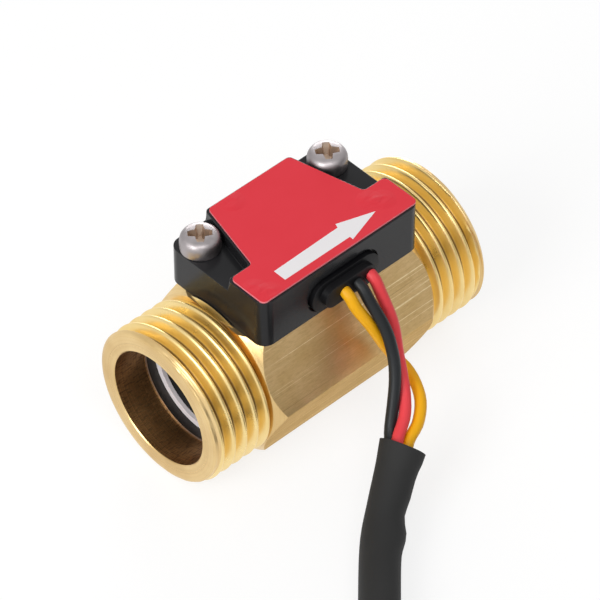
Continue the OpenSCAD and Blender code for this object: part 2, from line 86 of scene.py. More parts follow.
# Cable: the routes of the solids, in metres
WIRE_R = 0.75 * MM
SLEEVE_R = 2.5 * MM
SLEEVE_BORE_R = 2.02 * MM
YELLOW_ROUTE = [
    (-1, -5, 22.7), (-1, -9.7, 22.7), (-0.77, -11.33, 20.99), (0.61, -12.67, 17.77), (1.92, -13.6, 14.5),
    (3.06, -14.14, 12.12), (3.68, -15.54, 10.82), (3.21, -17.66, 10.02), (1.95, -19.77, 9.33),
    (-0.15, -21.43, 8.45), (-2.52, -22.27, 7.6),
]
BLACK_ROUTE = [
    (1.1, -5, 22.7), (1.1, -9.7, 22.7), (1.09, -11.72, 21.09), (1.35, -14.19, 18.11), (0.98, -15.97, 15.14),
    (0.08, -17.25, 12.82), (-1.26, -18.38, 10.63), (-2.93, -19.64, 8.22), (-4.2, -20.94, 7.17),
]
RED_ROUTE = [
    (3.2, -5, 22.7), (3.2, -9.7, 22.7), (3.27, -11.34, 20.73), (3.23, -13.49, 17.32), (2.29, -15.38, 14.35),
    (1.42, -17.12, 12.03), (0.5, -18.52, 10.64), (-1.15, -20.2, 9.5), (-3.75, -21.7, 8.4),
]
SLEEVE_ROUTE = [
    (-3.4, -21.9, 7.4), (-6, -23.6, 5.6), (-9.4, -25.9, 4), (-13, -28.6, 2.9), (-18.9, -34.5, 2.5),
    (-26.5, -42.6, 2.5), (-34, -50.6, 2.5), (-41.8, -58.9, 2.5),
]
COIL_CENTRE = Vector((-21.3, -78.2, 2.5)) * MM
LEAD_ANGLE = math.radians(43.2)
COIL_START_R = 28.15 * MM
COIL_END_R = 21.85 * MM
COIL_TURNS = 1.25
# Rows of the three wire ends: u, v, how an offset turns u and v, height, and the middle wire's lift
TAIL_ROWS = [
    (-3.8, 20.9, -0.25, 0.4, 2.1, 1.1), (-6.2, 18, -0.6, 0.3, 2.3, 0.5), (-7, 14, -0.9, 0.1, 2.6, 0.1),
    (-7, 10, -1, 0, 2.8, 0), (-7, 6, -1, 0, 2.8, 0), (-7, 4, -1, 0, 2.8, 0),
]


def in_metres(route):
    return [Vector(point) * MM for point in route]


def coil_place(u, v, z):
    """A place beside the coil's centre: u across the cable's way, v along it, all in metres."""
    across = Vector((-math.cos(LEAD_ANGLE), math.sin(LEAD_ANGLE), 0))
    along = Vector((-math.sin(LEAD_ANGLE), -math.cos(LEAD_ANGLE), 0))
    place = COIL_CENTRE + across * u + along * v
    place.z = z
    return place


def coil_turns():
    """The turns from where the straight lead meets them, 24 points a turn."""
    steps = round(24 * COIL_TURNS)
    points = []
    for i in range(1, steps + 1):
        share = i / steps
        angle = share * COIL_TURNS * math.tau
        radius = COIL_START_R + (COIL_END_R - COIL_START_R) * share
        points.append(coil_place(radius * math.cos(angle), radius * math.sin(angle), SLEEVE_R))
    return points


def wire_end_route(offset):
    """From the end of the sleeve to one contact of the plug; offset is the contact's place in millimetres."""
    points = []
    for u, v, turn_u, turn_v, z, lift in TAIL_ROWS:
        height = z + (0 if offset else lift)
        points.append(coil_place((u + turn_u * offset) * MM, (v + turn_v * offset) * MM, height * MM))
    return points


def smooth_line(points, spacing):
    """A smooth curve through the points, resampled at even steps."""
    fine = []
    count = len(points)
    for i in range(count - 1):
        before = points[i - 1] if i else points[0] * 2 - points[1]
        after = points[i + 2] if i + 2 < count else points[-1] * 2 - points[-2]
        start, end = points[i], points[i + 1]
        for k in range(16):
            t = k / 16
            fine.append(0.5 * (2 * start + (end - before) * t
                               + (2 * before - 5 * start + 4 * end - after) * t * t
                               + (3 * start - before - 3 * end + after) * t ** 3))
    fine.append(points[-1].copy())
    line = [fine[0]]
    travelled = 0.0
    for a, b in zip(fine, fine[1:]):
        step = (b - a).length
        while travelled + step >= spacing:
            share = (spacing - travelled) / step
            a = a.lerp(b, share)
            line.append(a)
            step = (b - a).length
            travelled = 0.0
        travelled += step
    if (line[-1] - fine[-1]).length > spacing * 0.3:
        line.append(fine[-1])
    else:
        line[-1] = fine[-1]
    return line


def moving_frames(line):
    """For each point of the line: the way ahead, a side direction and the one over it, without sudden turns."""
    frames = []
    side = None
    for i, point in enumerate(line):
        ahead = (line[min(i + 1, len(line) - 1)] - line[max(i - 1, 0)]).normalized()
        if side is None:
            side = ahead.cross(Vector((0, 0, 1))).normalized()
        side = (side - ahead * side.dot(ahead)).normalized()
        frames.append((point, ahead, side, side.cross(ahead)))
    return frames


# Camera
camera_data = bpy.data.cameras.new("camera")
camera_data.sensor_fit = "HORIZONTAL"
camera_data.sensor_width = 36
camera_data.lens = LENS_MM
camera_data.clip_start = 0.01
camera = bpy.data.objects.new("camera", camera_data)
camera_up = CAMERA_BACK.cross(CAMERA_RIGHT)
camera.matrix_world = Matrix.Translation(CAMERA_PLACE) @ Matrix(
    (CAMERA_RIGHT, camera_up, CAMERA_BACK)).transposed().to_4x4()
bpy.context.scene.collection.objects.link(camera)
bpy.context.scene.camera = camera


# Materials
def shade(name, **sockets):
    """A new material with its Principled shader's sockets set; returns the material and a maker of nodes."""
    material = bpy.data.materials.new(name)
    material.use_nodes = True
    tree = material.node_tree
    surface = tree.nodes["Principled BSDF"]
    for socket, value in sockets.items():
        label = socket.replace("_", " ")
        surface.inputs[label].default_value = (*value, 1) if isinstance(value, tuple) else value

    def make(kind, links=None, **settings):
        node = tree.nodes.new("ShaderNode" + kind)
        for key, value in settings.items():
            if hasattr(node, key):
                setattr(node, key, value)
            else:
                node.inputs[key.replace("_", " ")].default_value = value
        for socket, source in (links or {}).items():
            tree.links.new(source, node.inputs[socket])
        return node

    def join(source, socket):
        tree.links.new(source, surface.inputs[socket])

    return material, make, join


def stretched(make, scale, turn=(0, 0, 0)):
    """Object coordinates, scaled by axis."""
    place = make("TexCoord")
    mapping = make("Mapping", {"Vector": place.outputs["Object"]})
    mapping.inputs["Scale"].default_value = scale
    mapping.inputs["Rotation"].default_value = turn
    return mapping.outputs["Vector"]


def noise(make, vector, scale, detail=3.0, roughness=0.55):
    return make("TexNoise", {"Vector": vector}, Scale=scale, Detail=detail, Roughness=roughness).outputs["Fac"]


def remap(make, value, low, high, to_low, to_high):
    node = make("MapRange", {"Value": value})
    node.inputs["From Min"].default_value = low
    node.inputs["From Max"].default_value = high
    node.inputs["To Min"].default_value = to_low
    node.inputs["To Max"].default_value = to_high
    return node.outputs["Result"]


def blend_colours(make, share, first, second):
    node = make("Mix", data_type="RGBA")
    tree = node.id_data
    tree.links.new(share, node.inputs["Factor"])
    for socket, colour in (("A", first), ("B", second)):
        target = [s for s in node.inputs if s.name == socket and s.type == "RGBA"][0]
        if isinstance(colour, tuple):
            target.default_value = (*colour, 1)
        else:
            tree.links.new(colour, target)
    return [s for s in node.outputs if s.type == "RGBA"][0]


def bumps(make, height, strength, distance):
    return make("Bump", {"Height": height}, Strength=strength, Distance=distance).outputs["Normal"]


def around_axis(make):
    """Distance from the pipe axis, in metres."""
    place = make("TexCoord")
    parts = make("SeparateXYZ", {"Vector": place.outputs["Object"]})
    rise = make("Math", {0: parts.outputs["Z"]}, operation="SUBTRACT")
    rise.inputs[1].default_value = AXIS_Z
    flat = make("CombineXYZ", {"Y": parts.outputs["Y"], "Z": rise.outputs[0]})
    return make("VectorMath", {0: flat.outputs[0]}, operation="LENGTH").outputs["Value"]


def turned_brass(name, bright, dark, roughness, strength):
    """Faces cut on a lathe: fine rings round the pipe axis."""
    material, make, join = shade(name, Metallic=1.0)
    place = make("TexCoord")
    parts = make("SeparateXYZ", {"Vector": place.outputs["Object"]})
    rings_at = make("CombineXYZ", {"X": parts.outputs["X"], "Y": around_axis(make)}).outputs[0]
    rings = noise(make, rings_at, 3600, 4.0, 0.7)
    broad = noise(make, rings_at, 1900, 3.0)
    patches = noise(make, place.outputs["Object"], 120, 4.0)
    tint = blend_colours(make, remap(make, patches, 0.35, 0.7, 0, 1), bright, dark)
    join(blend_colours(make, remap(make, broad, 0.45, 0.75, 0.0, 0.6), tint, dark), "Base Color")
    join(remap(make, rings, 0.3, 0.7, roughness - 0.06, roughness + 0.1), "Roughness")
    join(bumps(make, rings, strength, 0.02 * MM), "Normal")
    return material


def bored_brass_painted_shade():
    """The mouth's wall: bored brass darkened with painted shade, with fine rings and short marks along the pipe."""
    material, make, join = shade("brass_bored", Metallic=1.0)
    place = make("TexCoord")
    parts = make("SeparateXYZ", {"Vector": place.outputs["Object"]})
    rise = make("Math", {0: parts.outputs["Z"]}, operation="SUBTRACT")
    rise.inputs[1].default_value = AXIS_Z
    angle = make("Math", {0: parts.outputs["Y"], 1: rise.outputs[0]}, operation="ARCTAN2")
    way = make("Math", {0: angle.outputs[0]}, operation="MULTIPLY")
    way.inputs[1].default_value = MOUTH_R
    wall = make("CombineXYZ", {"X": parts.outputs["X"], "Y": way.outputs[0]}).outputs[0]
    rings = noise(make, make("CombineXYZ", {"X": parts.outputs["X"]}).outputs[0], 6500, 3.0, 0.7)
    short = make("Mapping", {"Vector": wall})
    short.inputs["Scale"].default_value = (0.3, 1, 1)
    marks = noise(make, short.outputs["Vector"], 3600, 2.0)
    patches = noise(make, place.outputs["Object"], 150, 4.0)
    # The dark brass tones are painted shade inside the mouth; the rings and short marks are tool marks, drawn darker
    # still
    tint = blend_colours(make, remap(make, patches, 0.35, 0.7, 0, 1), (0.80, 0.45, 0.175), (0.33, 0.175, 0.065))
    ringed = blend_colours(make, remap(make, rings, 0.4, 0.65, 0, 0.75), tint, (0.20, 0.105, 0.04))
    join(blend_colours(make, remap(make, marks, 0.5, 0.62, 0, 0.7), ringed, (0.16, 0.08, 0.03)), "Base Color")
    join(remap(make, marks, 0.3, 0.7, 0.3, 0.48), "Roughness")
    join(bumps(make, rings, 0.6, 0.02 * MM), "Normal")
    return material


def drawn_brass():
    """The hexagon's flats: dull drawn brass with thin lines along the pipe, some pale and some dark."""
    material, make, join = shade("brass_drawn", Metallic=1.0, Specular_Tint=(0.82, 0.68, 0.46))
    place = make("TexCoord")
    lines = noise(make, stretched(make, (0.004, 1, 1)), 3800, 2.0, 0.6)
    streaks = noise(make, stretched(make, (0.03, 1, 1)), 1500, 4.0, 0.7)
    grain = noise(make, stretched(make, (0.25, 1, 1)), 5200, 3.0, 0.7)
    patches = noise(make, place.outputs["Object"], 240, 5.0)
    tint = blend_colours(make, remap(make, patches, 0.35, 0.68, 0, 1), (0.70, 0.50, 0.25), (0.60, 0.41, 0.18))
    worn = blend_colours(make, remap(make, streaks, 0.45, 0.8, 0, 0.35), tint, (0.50, 0.33, 0.13))
    dull = blend_colours(make, remap(make, lines, 0.64, 0.69, 0, 0.5), worn, (0.30, 0.18, 0.065))
    pale = blend_colours(make, remap(make, lines, 0.375, 0.335, 0, 0.9), dull, (0.90, 0.74, 0.44))
    join(blend_colours(make, remap(make, grain, 0.45, 0.75, 0, 0.45), pale, (0.46, 0.30, 0.12)), "Base Color")
    join(remap(make, grain, 0.3, 0.7, 0.36, 0.52), "Roughness")
    join(bumps(make, grain, 0.4, 0.02 * MM), "Normal")
    return material


def thread_brass():
    """Cut threads: crests lighter than the roots, with painted shade in the roots and a thin painted shadow line
    along each root; faint tool lines round the pipe.
    """
    material, make, join = shade("brass_thread", Metallic=1.0)
    place = make("TexCoord")
    radius = around_axis(make)
    parts = make("SeparateXYZ", {"Vector": place.outputs["Object"]})
    # Painted shade: depth is 1 in the thread's roots and 0 towards the crests, and it mixes in a browner root colour
    depth = remap(make, radius, PIPE_R - THREAD_DEPTH, PIPE_R - 0.35 * MM, 1, 0)
    patches = noise(make, place.outputs["Object"], 160, 5.0)
    bright = blend_colours(make, remap(make, patches, 0.35, 0.7, 0, 1), (0.93, 0.72, 0.33), (0.87, 0.64, 0.25))
    root_painted_shade = blend_colours(make, depth, bright, (0.90, 0.65, 0.24))
    # A thin painted shadow line along each root, near black
    line = remap(make, radius, PIPE_R - THREAD_DEPTH + 0.02 * MM, PIPE_R - THREAD_DEPTH + 0.1 * MM, 1, 0)
    join(blend_colours(make, line, root_painted_shade, (0.20, 0.11, 0.035)), "Base Color")
    join(remap(make, patches, 0.3, 0.7, 0.25, 0.38), "Roughness")
    tool = noise(make, make("CombineXYZ", {"X": parts.outputs["X"], "Y": radius}).outputs[0], 4200, 3.0)
    join(bumps(make, tool, 0.15, 0.02 * MM), "Normal")
    return material


def moulded(name, colour, roughness, grain=500, depth=0.25, variation=0.15, gloss=0.5):
    """Moulded plastic or rubber: a fine grain with faint flow marks."""
    material, make, join = shade(name, Specular_IOR_Level=gloss)
    place = make("TexCoord")
    grain_map = noise(make, place.outputs["Object"], grain, 4.0)
    flow = noise(make, stretched(make, (0.4, 1, 1)), 60, 3.0)
    lighter = tuple(min(1, c * (1 + variation) + 0.004) for c in colour)
    darker = tuple(c * (1 - variation) for c in colour)
    join(blend_colours(make, remap(make, flow, 0.35, 0.65, 0, 1), darker, lighter), "Base Color")
    join(remap(make, flow, 0.3, 0.7, roughness - 0.05, roughness + 0.07), "Roughness")
    join(bumps(make, grain_map, depth, 0.02 * MM), "Normal")
    return material


def brushed(name, colour, roughness, scale=700, strength=0.15):
    """Turned or drawn metal with a fine irregular grain."""
    material, make, join = shade(name, Metallic=1.0)
    place = make("TexCoord")
    grain_map = noise(make, place.outputs["Object"], scale, 4.0)
    stain = noise(make, place.outputs["Object"], 250, 3.0)
    darker = tuple(c * 0.55 for c in colour)
    join(blend_colours(make, remap(make, stain, 0.42, 0.66, 0, 0.8), colour, darker), "Base Color")
    join(remap(make, grain_map, 0.3, 0.7, roughness - 0.06, roughness + 0.08), "Roughness")
    join(bumps(make, grain_map, strength, 0.02 * MM), "Normal")
    return material


def film_red():
    """Printed plastic film: even red with a satin face and faint orange peel."""
    material, make, join = shade("film_red", Roughness=0.5, Specular_IOR_Level=0.05)
    place = make("TexCoord")
    patches = noise(make, place.outputs["Object"], 120, 3.0)
    join(blend_colours(make, remap(make, patches, 0.35, 0.65, 0, 1), (0.765, 0.044, 0.061), (0.78, 0.048, 0.067)),
         "Base Color")
    peel = noise(make, place.outputs["Object"], 700, 2.0)
    swell = noise(make, stretched(make, (0.5, 1, 1)), 900, 2.0)
    height = make("Math", {0: peel}, operation="MULTIPLY")
    height.inputs[1].default_value = 0.04
    for bubble in FILM_BUBBLES:
        away = make("VectorMath", {0: place.outputs["Object"]}, operation="DISTANCE")
        away.inputs[1].default_value = Vector((*bubble, 0)) * MM + Vector((0, 0, LABEL_HIGH.z))
        near = remap(make, away.outputs["Value"], 0.6 * MM, 1.7 * MM, 1, 0)
        height = make("Math", {0: near, 1: swell, 2: height.outputs[0]}, operation="MULTIPLY_ADD")
    join(bumps(make, height.outputs[0], 0.9, 0.2 * MM), "Normal")
    return material


finish = {
    "thread": thread_brass(),
    "drawn": drawn_brass(),
    "turned": turned_brass("brass_turned", (0.84, 0.62, 0.30), (0.64, 0.43, 0.18), 0.3, 0.8),
    "bored": bored_brass_painted_shade(),
    # Bored faces deeper in than the mouth's step: a near-black painted shade of the brass
    "bored_deep_painted_shade": turned_brass("brass_bored_deep_painted_shade", (0.10, 0.092, 0.085), (0.055, 0.052, 0.05), 0.45, 0.5),
    # The mouth's step: brass given a grey tint so its edge shows as a pale line, a painted highlight
    "ledge": turned_brass("brass_ledge", (0.52, 0.50, 0.52), (0.42, 0.40, 0.42), 0.4, 0.3),
    "black_plastic": moulded("black_plastic", (0.0155, 0.0155, 0.017), 0.24, 420, 0.15, 0.15, 0.2),
    "guide_black": moulded("guide_black", (0.008, 0.008, 0.009), 0.55, 420, 0.15, 0.15, 0.1),
    "white_plastic": moulded("white_plastic", (0.90, 0.87, 0.91), 0.42, 300, 0.12, 0.03),
    "bush_plastic": moulded("bush_plastic", (0.42, 0.38, 0.30), 0.5),
    "steel": brushed("steel", (0.42, 0.385, 0.39), 0.42, 900, 0.7),
    # The cross recess: the screw's steel tinted brown, a painted reflection of the brass
    "steel_recess_painted_reflection": brushed("steel_recess_painted_reflection", (0.58, 0.47, 0.385), 0.4),
    "magnet": brushed("magnet", (0.36, 0.35, 0.36), 0.35),
    "resin": moulded("potting_resin", (0.03, 0.026, 0.022), 0.22, 120, 0.2),
    "board": moulded("board_green", (0.02, 0.13, 0.06), 0.3, 900, 0.12),
    "chip": moulded("chip_black", (0.02, 0.02, 0.022), 0.5, 900, 0.3),
    "ceramic": moulded("ceramic_tan", (0.5, 0.36, 0.22), 0.45, 900, 0.2),
    "film": film_red(),
    "film_edge": moulded("film_edge", (0.82, 0.22, 0.25), 0.45, 900, 0.1, 0.02, 0.2),
    "print": moulded("print_white", (0.86, 0.835, 0.845), 0.45, 900, 0.1, 0.02, 0.3),
    "rubber": moulded("rubber_black", (0.006, 0.006, 0.007), 0.42, 700, 0.3, 0.15, 0.14),
    "wire_yellow": moulded("wire_yellow", (0.92, 0.45, 0.006), 0.42, 300, 0.12, 0.04, 0.25),
    "wire_black": moulded("wire_black", (0.014, 0.016, 0.018), 0.42, 300, 0.12, 0.1, 0.25),
    "wire_red": moulded("wire_red", (0.84, 0.062, 0.075), 0.42, 300, 0.12, 0.04, 0.25),
    "hose": moulded("hose_black", (0.026, 0.026, 0.026), 0.7, 420, 0.4, 0.12, 0.25),
    "plug": moulded("plug_white", (0.78, 0.74, 0.64), 0.4, 260, 0.15, 0.04),
    "tin": brushed("contact_tin", (0.66, 0.64, 0.60), 0.3),
}

CARRIED_OVER = {
    "retaining_ring": "white_plastic",
    "inlet_guide": "guide_black",
    "outlet_support": "black_plastic",
    "bush_inlet": "bush_plastic",
    "bush_outlet": "bush_plastic",
    "rotor": "white_plastic",
    "rotor_shaft": "steel",
    "magnet_1": "magnet",
    "magnet_2": "magnet",
    "potting": "resin",
    "circuit_board": "board",
    "hall_sensor": "chip",
    "resistor": "chip",
    "capacitor": "ceramic",
    "plug_contact_1": "tin",
    "plug_contact_2": "tin",
    "plug_contact_3": "tin",
}
for node_name, finish_name in CARRIED_OVER.items():
    mesh = nodes[node_name].data
    mesh.materials.clear()
    mesh.materials.append(finish[finish_name])


# Making pieces
def piece(name, bm, finishes, body, replaces=(), sharp_angle=35, flat_from=None):
    """A finished mesh object in its place, riding on its body; faces from flat_from (m2) up aren't smoothed."""
    mesh = bpy.data.meshes.new(name)
    bm.to_mesh(mesh)
    bm.free()
    for key in finishes:
        mesh.materials.append(finish[key])
    mesh.shade_smooth()
    mesh.set_sharp_from_angle(angle=math.radians(sharp_angle))
    for polygon in mesh.polygons:
        if flat_from and polygon.area > flat_from:
            polygon.use_smooth = False
    obj = bpy.data.objects.new(name, mesh)
    bpy.context.scene.collection.objects.link(obj)
    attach(obj, body)
    if replaces:
        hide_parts(*replaces)
    return obj


def turned(bm, outline, steps, closed=False):
    """Spins an outline of (x, radius) about the pipe axis."""
    verts = [bm.verts.new((x, 0, AXIS_Z + r)) for x, r in outline]
    edges = [bm.edges.new(pair) for pair in zip(verts, verts[1:])]
    if closed:
        edges.append(bm.edges.new((verts[-1], verts[0])))
    bmesh.ops.spin(bm, geom=verts + edges, cent=(0, 0, AXIS_Z), axis=(1, 0, 0), dvec=(0, 0, 0),
                   angle=math.tau, steps=steps, use_merge=True)
    bmesh.ops.remove_doubles(bm, verts=bm.verts, dist=1e-7)
    bmesh.ops.recalc_face_normals(bm, faces=bm.faces)
    return bm


def solid_object(name, bm):
    mesh = bpy.data.meshes.new(name)
    bm.to_mesh(mesh)
    bm.free()
    obj = bpy.data.objects.new(name, mesh)
    bpy.context.scene.collection.objects.link(obj)
    return obj


def carved(base, cutter, operation):
    """base with cutter taken out of it, or the two's common part; both are used up."""
    modifier = base.modifiers.new("cut", "BOOLEAN")
    modifier.operation = operation
    modifier.solver = "EXACT"
    modifier.object = cutter
    graph = bpy.context.evaluated_depsgraph_get()
    result = bmesh.new()
    result.from_mesh(base.evaluated_get(graph).to_mesh())
    for spent in (base, cutter):
        bpy.data.objects.remove(spent)
    return result


def tidy_faces(bm, merge=2e-6):
    bmesh.ops.remove_doubles(bm, verts=bm.verts, dist=merge)
    bmesh.ops.dissolve_degenerate(bm, edges=bm.edges, dist=merge)
    bmesh.ops.dissolve_limit(bm, angle_limit=math.radians(0.4), verts=bm.verts, edges=bm.edges,
                             use_dissolve_boundaries=False, delimit={"NORMAL"})


def ease_edges(bm, width, segments=2, sharper_than=30, wanted=None):
    """Rounds the sharp edges."""
    edges = [e for e in bm.edges
             if len(e.link_faces) == 2 and e.calc_face_angle(0) > math.radians(sharper_than)
             and (wanted is None or wanted(e))]
    bmesh.ops.bevel(bm, geom=edges, offset=width, offset_type="OFFSET", segments=segments, profile=0.5,
                    affect="EDGES", clamp_overlap=True, material=-1)


def node_copy(node_name):
    bm = bmesh.new()
    bm.from_mesh(nodes[node_name].data)
    tidy_faces(bm)
    return bm


# Brass body
def thread_section(points=18):
    """One pitch of the rounded 55 degree thread, from root to root, as (place along the pipe, radius)."""
    rounding = 0.137329 * THREAD_PITCH
    slope = 1 / math.tan(math.radians(27.5))
    arc_half = rounding * math.cos(math.radians(27.5))
    rows = []
    for i in range(points + 1):
        along = -THREAD_PITCH / 2 + THREAD_PITCH * i / points
        away = abs(along)
        gap = THREAD_PITCH / 2 - away
        radius = PIPE_R + 0.16 * THREAD_PITCH - away * slope
        if away < arc_half:
            radius = PIPE_R - rounding + math.sqrt(max(rounding ** 2 - away ** 2, 0))
        if gap < arc_half:
            radius = PIPE_R - THREAD_DEPTH + rounding - math.sqrt(max(rounding ** 2 - gap ** 2, 0))
        rows.append((along, radius))
    return rows


def lip_limits(away):
    """Least and most radius near an end face: a plain ring where the thread runs out, and its rounded edge."""
    least = LIP_R - max(away - LIP_LENGTH, 0) * 1.9
    edge = max(LIP_ROUND - away, 0) / LIP_ROUND
    most = PIPE_R - LIP_ROUND * (1 - math.sqrt(1 - edge ** 2)) if away < LIP_ROUND else PIPE_R
    return least, most


def add_thread(bm, side, first_crest):
    """The helical surface of one end, its end annulus and a hidden inner wall."""
    turns = 7
    steps = 96
    thread = bmesh.new()
    verts = [thread.verts.new((first_crest + x, 0, AXIS_Z + r)) for x, r in thread_section()]
    edges = [thread.edges.new(pair) for pair in zip(verts, verts[1:])]
    bmesh.ops.spin(thread, geom=verts + edges, cent=(0, 0, AXIS_Z), axis=(1, 0, 0),
                   dvec=(THREAD_PITCH / steps, 0, 0), angle=math.tau * turns, steps=steps * turns,
                   use_merge=False)
    bmesh.ops.remove_doubles(thread, verts=thread.verts, dist=2e-7)
    face_x = side * HALF_BODY
    root_x = side * (HALF_HEX - 0.4 * MM)
    for x, outward in ((face_x, side), (face_x - side * LIP_ROUND, side), (root_x, -side)):
        bmesh.ops.bisect_plane(thread, geom=thread.verts[:] + thread.edges[:] + thread.faces[:], dist=1e-8,
                               plane_co=(x, 0, 0), plane_no=(outward, 0, 0),
                               clear_outer=abs(x - face_x + side * LIP_ROUND) > 1e-6)
    for v in thread.verts:
        arm = Vector((0, v.co.y, v.co.z - AXIS_Z))
        least, most = lip_limits(abs(face_x - v.co.x))
        radius = min(max(arm.length, least), most)
        arm.normalize()
        v.co.y, v.co.z = arm.y * radius, AXIS_Z + arm.z * radius
    for x in (face_x, root_x):
        rim = [e for e in thread.edges if e.is_boundary and all(abs(v.co.x - x) < 1e-7 for v in e.verts)]
        grown = bmesh.ops.extrude_edge_only(thread, edges=rim)["geom"]
        for v in [g for g in grown if isinstance(g, bmesh.types.BMVert)]:
            arm = Vector((0, v.co.y, v.co.z - AXIS_Z)).normalized() * CORE_R
            v.co.y, v.co.z = arm.y, AXIS_Z + arm.z
    bmesh.ops.recalc_face_normals(thread, faces=thread.faces)
    for face in thread.faces:
        rounded = abs(face_x - face.calc_center_median().x) < LIP_ROUND
        face.material_index = 1 if rounded or abs(face.normal.x) > 0.98 else 0
    mesh = bpy.data.meshes.new("thread")
    thread.to_mesh(mesh)
    thread.free()
    bm.from_mesh(mesh)
    bpy.data.meshes.remove(mesh)


def brass_body():
    block = bmesh.new()
    corners = [(CORNER, 0), (FLAT_EDGE, FLAT_HALF), (-FLAT_EDGE, FLAT_HALF), (-CORNER, 0),
               (-FLAT_EDGE, -FLAT_HALF), (FLAT_EDGE, -FLAT_HALF)]
    rim = [block.verts.new((-HALF_HEX, y, AXIS_Z + z)) for y, z in corners]
    face = block.faces.new(rim)
    grown = bmesh.ops.extrude_face_region(block, geom=[face])["geom"]
    bmesh.ops.translate(block, verts=[g for g in grown if isinstance(g, bmesh.types.BMVert)],
                        vec=(2 * HALF_HEX, 0, 0))
    bmesh.ops.recalc_face_normals(block, faces=block.faces)
    ease_edges(block, 0.14 * MM, 2, 30, lambda e: abs(e.verts[0].co.x - e.verts[1].co.x) > HALF_HEX)
    limit = turned(bmesh.new(), [
        (-HALF_HEX, 0.0), (-HALF_HEX, FLAT_HALF - 0.1 * MM), (-HALF_HEX + 0.05 * MM, FLAT_HALF),
        (-HALF_HEX + 1.5 * MM, CORNER + 0.1 * MM), (HALF_HEX - 1.5 * MM, CORNER + 0.1 * MM),
        (HALF_HEX - 0.05 * MM, FLAT_HALF), (HALF_HEX, FLAT_HALF - 0.1 * MM), (HALF_HEX, 0.0)], 192)
    block = carved(solid_object("block", block), solid_object("limit", limit), "INTERSECT")
    bmesh.ops.remove_doubles(block, verts=block.verts, dist=2e-7)
    seat = bmesh.ops.bisect_plane(block, geom=block.verts[:] + block.edges[:] + block.faces[:], dist=1e-8,
                                  plane_co=(0, 0, SEAT_Z), plane_no=(0, 0, 1), clear_outer=True)
    bmesh.ops.holes_fill(block, edges=[g for g in seat["geom_cut"] if isinstance(g, bmesh.types.BMEdge)])
    hollow = turned(bmesh.new(), [(-HALF_BODY, 0), (-HALF_BODY, CORE_R), (HALF_BODY, CORE_R),
                                  (HALF_BODY, 0)], 128)
    block = carved(solid_object("block", block), solid_object("hollow", hollow), "DIFFERENCE")
    tidy_faces(block, 2e-7)
    for face in block.faces:
        flat = abs(face.normal.x) < 0.02
        face.material_index = 2 if flat else 1
    core = turned(bmesh.new(), [
        (-HALF_BODY, CORE_R), (-HALF_BODY, MOUTH_R + 0.12 * MM), (-HALF_BODY + 0.12 * MM, MOUTH_R),
        (MOUTH_END, MOUTH_R), (MOUTH_END, CARTRIDGE_R), (STOP_X, CARTRIDGE_R),
        (STOP_X, OUTLET_R), (HALF_BODY - 0.12 * MM, OUTLET_R), (HALF_BODY, OUTLET_R + 0.12 * MM),
        (HALF_BODY, CORE_R)], 160, closed=True)
    for face in core.faces:
        middle = face.calc_center_median()
        radius = math.hypot(middle.y, middle.z - AXIS_Z)
        # Faces of the bore get brass darkened with painted shade
        bored = radius < MOUTH_R + 0.02 * MM and abs(middle.x) < HALF_BODY - 0.15 * MM
        # The mouth's step gets the grey painted highlight
        ledge = abs(middle.x - MOUTH_END) < 0.01 * MM
        # Faces deeper in than the mouth's step get the near-black painted shade
        deep = abs(middle.x) < -MOUTH_END - 0.01 * MM
        face.material_index = 5 if ledge else (4 if deep else 3) if bored else 1
    for part in (core,):
        mesh = bpy.data.meshes.new("core")
        part.to_mesh(mesh)
        part.free()
        block.from_mesh(mesh)
        bpy.data.meshes.remove(mesh)
    add_thread(block, -1, NEAR_CREST)
    add_thread(block, 1, FAR_CREST)
    return piece("brass_body", block, ["thread", "turned", "drawn", "bored", "bored_deep_painted_shade", "ledge"], "meter", ["body"], 28)


# Housing, label and print
def upright(edge):
    """Whether an edge of the housing's raised block or of the label stands upright."""
    low, high = sorted(v.co.z for v in edge.verts)
    return high - low > 0.9 * edge.calc_length() and high > LABEL_LOW.z - 0.05 * MM


def sensor_housing():
    bm = node_copy("housing")
    ease_edges(bm, 0.5 * MM, 4, 50, upright)
    ease_edges(bm, 0.22 * MM, 3, 35, lambda e: min(v.co.z for v in e.verts) > SEAT_Z + 5.4 * MM)
    return piece("sensor_housing", bm, ["black_plastic"], "meter", ["housing"], 30, 5 * MM ** 2)


def label_film():
    bm = node_copy("label")
    ease_edges(bm, 0.5 * MM, 4, 50, upright)
    ease_edges(bm, 0.08 * MM, 2, 35, lambda e: min(v.co.z for v in e.verts) > LABEL_HIGH.z - 0.01 * MM)
    for face in bm.faces:
        face.material_index = 1 if face.normal.z < 0.9 else 0
    return piece("label_film", bm, ["film", "film_edge"], "meter", ["label"], 30, 5 * MM ** 2)


def arrow_print():
    """The plain flow arrow, a thin printed layer on the film."""
    outline = [(-8.0, -5.0), (-8.0, -6.9), (2.4, -6.9), (2.39, -7.44), (7.58, -5.85), (2.63, -4.2), (2.4, -4.8)]
    bm = bmesh.new()
    face = bm.faces.new([bm.verts.new((x * MM, y * MM, LABEL_HIGH.z)) for x, y in outline])
    grown = bmesh.ops.extrude_face_region(bm, geom=[face])["geom"]
    bmesh.ops.translate(bm, verts=[g for g in grown if isinstance(g, bmesh.types.BMVert)], vec=(0, 0, 0.02 * MM))
    bmesh.ops.recalc_face_normals(bm, faces=bm.faces)
    return piece("arrow_print", bm, ["print"], "meter")


def wire_outlet():
    bm = node_copy("grommet")
    ease_edges(bm, 0.34 * MM, 4, 35, lambda e: max(v.co.y for v in e.verts) < HOUSING_LOW.y)
    return piece("wire_outlet", bm, ["rubber"], "meter", ["grommet"], 30)


